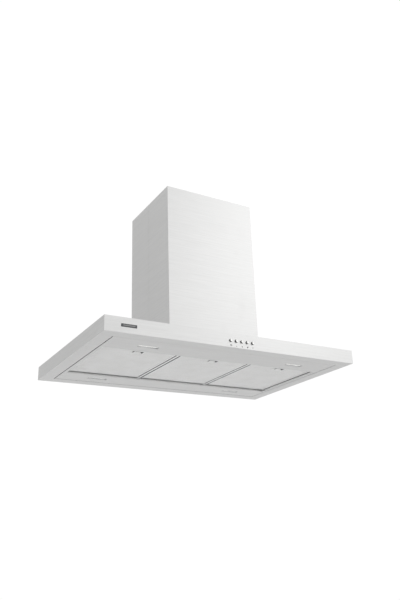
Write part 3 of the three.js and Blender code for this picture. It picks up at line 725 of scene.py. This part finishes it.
# levels of the black strips that paint shade on the opening's side folds
STRIP_LEVELS = (4.6 * MM, 12 * MM)
GROOVE_SHADE_LEVELS = (0.1 * MM, 3 * MM)  # from and to, above the canopy's underside


def side_shade_strips(side):
    """Thin black strips on a filter's two side faces: painted shade in the gaps beside the filter."""
    low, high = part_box(f"filter_frame_{side}")
    mesh_low, mesh_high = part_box(f"filter_mesh_{side}")
    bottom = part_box(f"latch_cup_{side}")[0].z
    side_shades = bmesh.new()
    for x, outward in ((low.x, -1), (high.x, 1)):
        left, right = sorted((x - outward * SHADE_STRIP_ROUND, x + outward * SHADE_STRIP_THICKNESS))
        rounded_block(side_shades, (left, mesh_low.y, bottom + SHADE_STRIP_THICKNESS),
                      (right, mesh_high.y, high.z - SHADE_STRIP_TOP_GAP), SHADE_STRIP_ROUND, 1)
    add_piece(f"filter_shade_strips_{side}", side_shades, f"filter_{side}", BLACK)


def divider_shade_channel(side):
    """A black channel over the strip between two filters, with a lip under each of its edges: painted shade
    along the gaps beside the strip.
    """
    low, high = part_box(f"filter_divider_{side}")
    filter_low, filter_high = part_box("filter_mesh_middle")
    near, far = low.x - SHADE_STRIP_THICKNESS, high.x + SHADE_STRIP_THICKNESS
    # black lips: painted shade along the divider's gaps
    channel = bmesh.new()
    rounded_block(channel, (near, filter_low.y, low.z + SHADE_STRIP_ROUND),
                  (far, filter_high.y, low.z + CHANNEL_HEIGHT), SHADE_STRIP_ROUND, 1)
    for start, end in ((near, near + CHANNEL_LIPS[0]), (far - CHANNEL_LIPS[1], far)):
        rounded_block(channel, (start, filter_low.y, low.z - LIP_THICKNESS),
                      (end, filter_high.y, low.z + MM), LIP_THICKNESS / 3, 1)
    add_piece(f"divider_shade_channel_{side}", channel, "hood", BLACK)


def groove_shade_strip():
    """A black strip on the rim behind the inner panel: painted shade in the groove there."""
    low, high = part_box("inner_panel")
    groove_shade = bmesh.new()
    side_x, back_y = high.x + GROOVE, high.y + GROOVE
    rounded_block(groove_shade, (-side_x, back_y - BACK_SHADE_WIDTH, UNDERSIDE + GROOVE_SHADE_LEVELS[0]),
                  (side_x, back_y, UNDERSIDE + GROOVE_SHADE_LEVELS[1]), SHADE_STRIP_ROUND, 1)
    add_piece("groove_shade_strip", groove_shade, "hood", BLACK)


def opening_shade_strips():
    """Black strips on the two side folds of the filters' opening: painted shade on those folds."""
    left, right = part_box("filter_frame_left")[0].x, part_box("filter_frame_right")[1].x
    low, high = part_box("filter_mesh_middle")
    strips = bmesh.new()
    bottom, top = UNDERSIDE + STRIP_LEVELS[0], UNDERSIDE + STRIP_LEVELS[1]
    for edge, outward in ((left - OPENING_PLAY, -1), (right + OPENING_PLAY, 1)):
        near, far = sorted((edge - outward * SHADE_STRIP_THICKNESS, edge + outward * SHADE_STRIP_ROUND))
        rounded_block(strips, (near, low.y, bottom), (far, high.y, top), SHADE_STRIP_ROUND, 1)
    add_piece("opening_shade_strips", strips, "hood", BLACK)


# ---- Lamps --------------------------------------------------------------------------------------
LAMP_HOLE = (68 * MM, 18 * MM)
GASKET_WIDTH = 0.45 * MM
GASKET_LEVEL = 0.5 * MM  # above the canopy's underside
GASKET_GAP = 0.1 * MM  # between the gasket and the lens
LENS_ROUND = 0.5 * MM
LENS_STEP = (5 * MM, 0.6 * MM)  # how far in from the lens's edge its face steps down, and how much
LENS_STEP_ROUND = 0.35 * MM
LAMP_CHIPS = 6
CHIP_PITCH = 9 * MM
CHIP_SIZE = 1.4 * MM  # from its middle to its edge
CHIP_DEPTHS = (0.8 * MM, 0.3 * MM)  # out of the board's face and into it
CHIP_ROUND = 0.25 * MM
BOARD_INSET = (6 * MM, 5 * MM)
BOARD_LEVEL = 6 * MM  # above the lens
BOARD_THICKNESS = 1.2 * MM
BOARD_ROUND = 0.2 * MM


def lamp_lens(corner):
    """A lens with a stepped face."""
    low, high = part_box(f"lamp_lens_{corner}")
    inset, step = LENS_STEP
    lens = bmesh.new()
    rounded_block(lens, low, high, LENS_ROUND, 3)
    rounded_block(lens, (low.x + inset, low.y + inset, low.z - step),
                  (high.x - inset, high.y - inset, low.z + step), LENS_STEP_ROUND, 3)
    add_piece(f"lamp_diffuser_{corner}", lens, "hood", OPAL, (f"lamp_lens_{corner}",))


def lamp_gasket(corner):
    """A grey gasket round the lamp's hole: two strips along X and two along Y. Its grey also stands in for
    the shade on the hole's walls.
    """
    middle = centre_of(f"lamp_lens_{corner}")
    half_x, half_y = LAMP_HOLE[0] / 2, LAMP_HOLE[1] / 2
    bottom, top = UNDERSIDE + GASKET_LEVEL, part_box(f"lamp_lens_{corner}")[0].z - GASKET_GAP
    gasket = bmesh.new()
    for side in (-1, 1):
        near, far = sorted((side * half_x, side * (half_x - GASKET_WIDTH)))
        rounded_block(gasket, (middle.x + near, middle.y - half_y, bottom),
                      (middle.x + far, middle.y + half_y, top), SHADE_STRIP_ROUND)
        near, far = sorted((side * half_y, side * (half_y - GASKET_WIDTH)))
        rounded_block(gasket, (middle.x - half_x, middle.y + near, bottom),
                      (middle.x + half_x, middle.y + far, top), SHADE_STRIP_ROUND)
    add_piece(f"lamp_gasket_{corner}", gasket, "hood", SOFT_GREY)


def lamp_board(corner):
    """A board above the lens with a row of light chips."""
    low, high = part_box(f"lamp_lens_{corner}")
    middle = (low + high) / 2
    face = high.z + BOARD_LEVEL
    board = bmesh.new()
    rounded_block(board, (low.x + BOARD_INSET[0], low.y + BOARD_INSET[1], face),
                  (high.x - BOARD_INSET[0], high.y - BOARD_INSET[1], face + BOARD_THICKNESS), BOARD_ROUND)
    for i in range(LAMP_CHIPS):
        x = middle.x + (i - (LAMP_CHIPS - 1) / 2) * CHIP_PITCH
        rounded_block(board, (x - CHIP_SIZE, middle.y - CHIP_SIZE, face - CHIP_DEPTHS[0]),
                      (x + CHIP_SIZE, middle.y + CHIP_SIZE, face + CHIP_DEPTHS[1]), CHIP_ROUND)
    add_piece(f"lamp_board_{corner}", board, "hood", GREY)


# ---- Front controls -----------------------------------------------------------------------------
BUTTON_STEPS = 40
BARREL_RADIUS = 0.93  # share of the button's radius
BARREL_END = 6.4 * MM
STEM_RADIUS = 3 * MM
CAP_DEPTH = 1.3 * MM
# Share of the button's radius, and height in millimetres.
CAP_PROFILE = ((0, -0.5), (0.45, -0.42), (0.75, -0.12), (0.86, 0.0), (0.96, -0.2), (1, -0.6))


def push_button(number):
    """A dark barrel with a bright, slightly dished metal cap. The barrel's dark colour also stands in for the
    shade and dark reflection on the button's side.
    """
    low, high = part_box(f"button_{number}")
    place = towards((0, -1, 0), ((low.x + high.x) / 2, low.y, (low.z + high.z) / 2))
    radius = (high.x - low.x) / 2
    barrel_radius = radius * BARREL_RADIUS
    back = low.y - high.y
    barrel = bmesh.new()
    wide = [(0, -CAP_DEPTH), (barrel_radius, -CAP_DEPTH), (barrel_radius, -BARREL_END)]
    stem = [(STEM_RADIUS, -BARREL_END), (STEM_RADIUS, back), (0, back)]
    turned(barrel, wide + stem, place, BUTTON_STEPS)
    add_piece(f"button_barrel_{number}", barrel, f"button_{number}", BARREL_DARK)
    cap = bmesh.new()
    under = [(radius, -CAP_DEPTH), (0, -CAP_DEPTH)]
    turned(cap, scaled(CAP_PROFILE, radius, MM) + under, place, BUTTON_STEPS)
    add_piece(f"button_cap_{number}", cap, f"button_{number}", BUTTON_SATIN, (f"button_{number}",))


ICON_THICKNESS = 0.08 * MM
ICON_LEVEL = 6.8 * MM  # above the canopy's underside
ICON_SIZE = 6.0 * MM
ICON_LINE = 1.3 * MM
BAR_PITCH = 1.5 * MM
BAR_RISE = ICON_SIZE / 4  # from one bar to the next: the first is two of these high
RING_STEPS = 24
POWER_RING = (125, 415)  # degrees: open at the top
WHOLE_RING = (0, 359.9)
LAMP_SHARE = 0.62  # size of the lamp's ring, as a share of an icon's
LAMP_RAYS = 6
RAY_REACH = (1.7 * MM, 2.4 * MM)
RAY_WIDTH = 0.4 * MM


def icon_bar(shape, place, left, right, bottom, top):
    outline_prism(shape, [(left, bottom), (right, bottom), (right, top), (left, top)], ICON_THICKNESS, place)


def icon_ring(shape, place, start, end):
    points = band(ICON_SIZE / 2 - ICON_LINE, ICON_SIZE / 2, start, end, RING_STEPS)
    outline_prism(shape, points, ICON_THICKNESS, place)


def power_icon(shape, place):
    """An open ring with a bar at its top."""
    icon_ring(shape, place, *POWER_RING)
    icon_bar(shape, place, -ICON_LINE / 2, ICON_LINE / 2, 0, ICON_SIZE / 2)


def lamp_icon(shape, place):
    """A small ring with rays."""
    icon_ring(shape, place @ Matrix.Scale(LAMP_SHARE, 4), *WHOLE_RING)
    for ray in range(LAMP_RAYS):
        spoke = place @ Matrix.Rotation(2 * math.pi * ray / LAMP_RAYS, 4, "Z")
        icon_bar(shape, spoke, *RAY_REACH, -RAY_WIDTH / 2, RAY_WIDTH / 2)


def speed_icon(shape, place, count):
    """A row of bars that grow taller, for a fan speed."""
    bottom = -ICON_SIZE / 2
    for i in range(count):
        x = (i - (count - 1) / 2) * BAR_PITCH
        icon_bar(shape, place, x - ICON_LINE / 2, x + ICON_LINE / 2, bottom, bottom + BAR_RISE * (i + 2))


def front_icons():
    """Generic marks under the buttons: off, three speeds and the lamp."""
    for number in BUTTONS:
        centre = centre_of(f"button_{number}")
        place = towards((0, -1, 0), (centre.x, FRONT_FACE, UNDERSIDE + ICON_LEVEL))
        shape = bmesh.new()
        if number == BUTTONS[0]:
            power_icon(shape, place)
        elif number == BUTTONS[-1]:
            lamp_icon(shape, place)
        else:
            speed_icon(shape, place, number - 1)
        add_piece(f"icon_{number}", shape, "hood", INK)


BADGE_ROUND = 1.2 * MM
BADGE_CHAMFER = 0.3 * MM
STRIPE_SHARE = (0.78, 0.34)  # of the badge's width and height
STRIPE_ROUND = 1.0 * MM
STRIPE_RELIEF = 0.1 * MM


def badge():
    """A dark plate with rounded corners, a chamfered border and a plain stripe."""
    low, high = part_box("badge_plate")
    middle = (low + high) / 2
    width, height = high.x - low.x, high.z - low.z
    thickness = high.y - low.y
    place = towards((0, -1, 0), (middle.x, high.y, middle.z))
    plate = bmesh.new()
    outline_prism(plate, rounded_rectangle(width, height, BADGE_ROUND), thickness, place)
    front_edges = [e for e in plate.edges if all(abs(v.co.y - low.y) < NEARLY for v in e.verts)]
    bmesh.ops.bevel(plate, geom=front_edges, offset=BADGE_CHAMFER, segments=2, affect="EDGES")
    add_piece("badge_blank", plate, "hood", BADGE_DARK, ("badge_plate",))
    stripe = bmesh.new()
    outline = rounded_rectangle(width * STRIPE_SHARE[0], height * STRIPE_SHARE[1], STRIPE_ROUND)
    outline_prism(stripe, outline, thickness - STRIPE_RELIEF / 2, place)
    bmesh.ops.translate(stripe, verts=stripe.verts, vec=(0, -STRIPE_RELIEF, 0))
    add_piece("badge_stripe", stripe, "hood", BADGE_STRIPE)


# ---- Hidden works -------------------------------------------------------------------------------
SCREW_RADIUS = 3.4 * MM
HEAD_HEIGHT = 0.62  # of a screw's head, as a share of its radius
# Share of the head's radius, share of its height, and the sides of the socket.
SCREW_PROFILE = ((0, 0.35), (0.42, 0.35, 6), (0.45, 1, 6), (0.62, 1), (0.88, 0.78), (1, 0.35), (1, 0), (0, 0))
SCREW_STEPS = 24


def screws(name, spots, direction, body, radius=SCREW_RADIUS):
    """Pan-head screws with a hexagon socket, heads standing towards a direction."""
    profile = scaled(SCREW_PROFILE, radius, radius * HEAD_HEIGHT)
    shape = bmesh.new()
    for spot in spots:
        turned(shape, profile, towards(direction, spot), SCREW_STEPS)
    add_piece(name, shape, body, CHROME)


COLLAR_FLANGE = 1.5 * MM
COLLAR_SCREW_INSET = 9 * MM
FRAME_SCREW_INSET = (40 * MM, 14 * MM)  # from the base frame's ends and sides
LID_SCREW_INSET = 6 * MM
LID_SCREW_RADIUS = 2.4 * MM


def inset_pairs(first, second, inset_first, inset_second):
    """The four corners of a rectangle, given as two (low, high) pairs, moved inwards."""
    across = (first[0] + inset_first, first[1] - inset_first)
    along = (second[0] + inset_second, second[1] - inset_second)
    return [(a, b) for a in across for b in along]


def frame_screws():
    """Screws of the collar, the base frame and the lid of the electrics box."""
    low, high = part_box("outlet_collar")
    level = low.z + COLLAR_FLANGE
    pairs = inset_pairs((low.x, high.x), (low.y, high.y), COLLAR_SCREW_INSET, COLLAR_SCREW_INSET)
    screws("collar_screws", [(x, y, level) for x, y in pairs], (0, 0, 1), "hood")
    low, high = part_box("base_frame")
    pairs = inset_pairs((low.x, high.x), (low.y, high.y), *FRAME_SCREW_INSET)
    clear = [(x, y, high.z) for x, y in pairs if not (x > 0 and y < 0)]
    screws("base_frame_screws", clear, (0, 0, 1), "hood")
    low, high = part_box("electrics_box")
    pairs = inset_pairs((low.x, high.x), (low.z, high.z), LID_SCREW_INSET, LID_SCREW_INSET)
    screws("electrics_lid_screws", [(x, high.y, z) for x, z in pairs], (0, 1, 0), "hood", LID_SCREW_RADIUS)


MOTOR_LENGTH = 62 * MM
# Share of the motor's radius, and height in millimetres.
NEAR_CAP = ((0, 0), (0.55, 0), (0.62, 3), (0.78, 5))
FAR_CAP = ((0.78, 56), (0.62, 59))
BOSS_SHARE = 0.3
MOTOR_STEPS = 48
STATOR_START = 22 * MM
SHEETS = 14
SHEET_PITCH = 1.2 * MM
SHEET_THICKNESS = 0.8 * MM
SHEET_GAP_SHARE = 0.975  # radius between two sheets, as a share of the sheets' radius
SHAFT_RADIUS = 4 * MM
COILS = 12
COIL_SHARE = 0.80  # radius of the ring of coils, as a share of the motor's radius
COIL_START = 13 * MM
COIL_PROFILE = ((0, -7), (3.5, -6), (5, -2), (5, 4), (3, 8), (0, 9))  # radius and height in millimetres
COIL_STEPS = 14


def motor_details():
    """A stack of stator sheets between two stepped end caps, with a shaft and a ring of copper coils."""
    low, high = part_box("motor")
    middle = (low + high) / 2
    radius = (high.z - low.z) / 2
    end = high.x - low.x
    axis = towards((1, 0, 0), (low.x, middle.y, middle.z))
    gap_radius = radius * SHEET_GAP_SHARE
    stack = []
    for i in range(SHEETS):
        start = STATOR_START + i * SHEET_PITCH
        stack += [(radius, start), (radius, start + SHEET_THICKNESS)]
        stack += [(gap_radius, start + SHEET_THICKNESS), (gap_radius, start + SHEET_PITCH)]
    boss = [(radius * BOSS_SHARE, MOTOR_LENGTH), (SHAFT_RADIUS, MOTOR_LENGTH), (SHAFT_RADIUS, end), (0, end)]
    can = bmesh.new()
    turned(can, scaled(NEAR_CAP, radius, MM) + stack + scaled(FAR_CAP, radius, MM) + boss, axis, MOTOR_STEPS)
    add_piece("motor_stator", can, "hood", ZINC, ("motor",))
    coils = bmesh.new()
    coil_place = Matrix.Translation((radius * COIL_SHARE, 0, COIL_START))
    for i in range(COILS):
        turn = Matrix.Rotation(2 * math.pi * i / COILS, 4, "Z")
        turned(coils, scaled(COIL_PROFILE, MM, MM), axis @ turn @ coil_place, COIL_STEPS)
    add_piece("motor_windings", coils, "hood", COPPER)


BLOWER_WALL = 60 * MM  # from the middle to the side walls' outer faces
EYE_RING_PROFILE = ((50, 0), (50, 2.2), (51, 2.8), (53, 2.2), (53.5, 0), (50, 0))  # in millimetres
EYE_RING_STEPS = 64


def eye_rings():
    """A rounded stiffening ring round each eye of the blower."""
    centre = centre_of("impeller_cage")
    for side, name in ((-1, "left"), (1, "right")):
        shape = bmesh.new()
        place = towards((side, 0, 0), (side * BLOWER_WALL, centre.y, centre.z))
        turned(shape, scaled(EYE_RING_PROFILE, MM, MM), place, EYE_RING_STEPS)
        add_piece(f"eye_ring_{name}", shape, "hood", BLACK)


# Share of the capacitor's radius, and height in millimetres.
CAN_PROFILE = ((0, 0), (0.9, 0), (1, 1.2), (1, 43), (0.94, 44), (1, 45), (1, 50), (0.93, 51), (0, 51))
CAN_CAP_PROFILE = ((0, 50), (0.9, 50), (0.88, 53), (0, 53))
CAN_STEPS = 40
BLADE = (6.3 * MM, 0.8 * MM)
BLADE_SPREAD = 6 * MM  # from the middle
BLADE_START = 52 * MM  # inside the cap
BLADE_ROUND = 0.2 * MM


def capacitor():
    """A round can with a rolled rim and a beaded waist, under a moulded cap with two blade terminals."""
    low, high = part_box("capacitor")
    middle = (low + high) / 2
    radius = (high.x - low.x) / 2
    place = Matrix.Translation((middle.x, middle.y, low.z))
    can = bmesh.new()
    turned(can, scaled(CAN_PROFILE, radius, MM), place, CAN_STEPS)
    add_piece("capacitor_can", can, "hood", ALUMINIUM, ("capacitor",))
    cap = bmesh.new()
    turned(cap, scaled(CAN_CAP_PROFILE, radius, MM), place, CAN_STEPS)
    for side in (-1, 1):
        y = middle.y + side * BLADE_SPREAD
        rounded_block(cap, (middle.x - BLADE[0] / 2, y - BLADE[1] / 2, low.z + BLADE_START),
                      (middle.x + BLADE[0] / 2, y + BLADE[1] / 2, high.z), BLADE_ROUND)
    add_piece("capacitor_cap", cap, "hood", BLACK)


CASE_ROUND = 2 * MM
LID_DEPTH = 3 * MM
LID_OVERLAP = MM  # into the case
LID_INSET = 0.8 * MM
LID_ROUND = MM
LID_RIBS = 6
LID_RIB_PITCH = 5 * MM
LID_RIB = (0.6, 1.6 * MM)  # share of the lid's width, and height
LID_RIB_DEPTHS = (0.6 * MM, MM)  # out of the lid's face and into it
LID_RIB_ROUND = 0.4 * MM


def electrics_box():
    """A moulded box with rounded corners and a lid with a row of ribs."""
    low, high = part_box("electrics_box")
    middle = (low + high) / 2
    case = bmesh.new()
    rounded_block(case, low, (high.x, high.y - LID_DEPTH, high.z), CASE_ROUND, 4)
    add_piece("electrics_case", case, "hood", GREY, ("electrics_box",))
    lid = bmesh.new()
    face = high.y - LID_RIB_DEPTHS[0]
    rounded_block(lid, (low.x + LID_INSET, high.y - LID_DEPTH - LID_OVERLAP, low.z + LID_INSET),
                  (high.x - LID_INSET, face, high.z - LID_INSET), LID_ROUND, 3)
    half = (high.x - low.x) * LID_RIB[0] / 2
    for i in range(LID_RIBS):
        z = middle.z + (i - (LID_RIBS - 1) / 2) * LID_RIB_PITCH
        rounded_block(lid, (middle.x - half, face - LID_RIB_DEPTHS[1], z - LID_RIB[1] / 2),
                      (middle.x + half, high.y, z + LID_RIB[1] / 2), LID_RIB_ROUND)
    add_piece("electrics_lid", lid, "hood", BLACK)


def make_object():
    finish_nodes()
    for side in SIDES:
        filter_front_mesh(side)
        filter_rivets(side)
        side_shade_strips(side)
        latch(side)
    for side in ("left", "right"):
        divider_shade_channel(side)
    groove_shade_strip()
    opening_shade_strips()
    for corner in CORNERS:
        lamp_lens(corner)
        lamp_gasket(corner)
        lamp_board(corner)
    for number in BUTTONS:
        push_button(number)
    front_icons()
    badge()
    frame_screws()
    motor_details()
    eye_rings()
    capacitor()
    electrics_box()


make_camera()
make_world()
make_floor()
make_light("key", KEY_PLACE, KEY_TARGET, *KEY_SIZE, KEY_POWER)
bpy.context.scene.view_settings.view_transform = "Standard"
make_object()
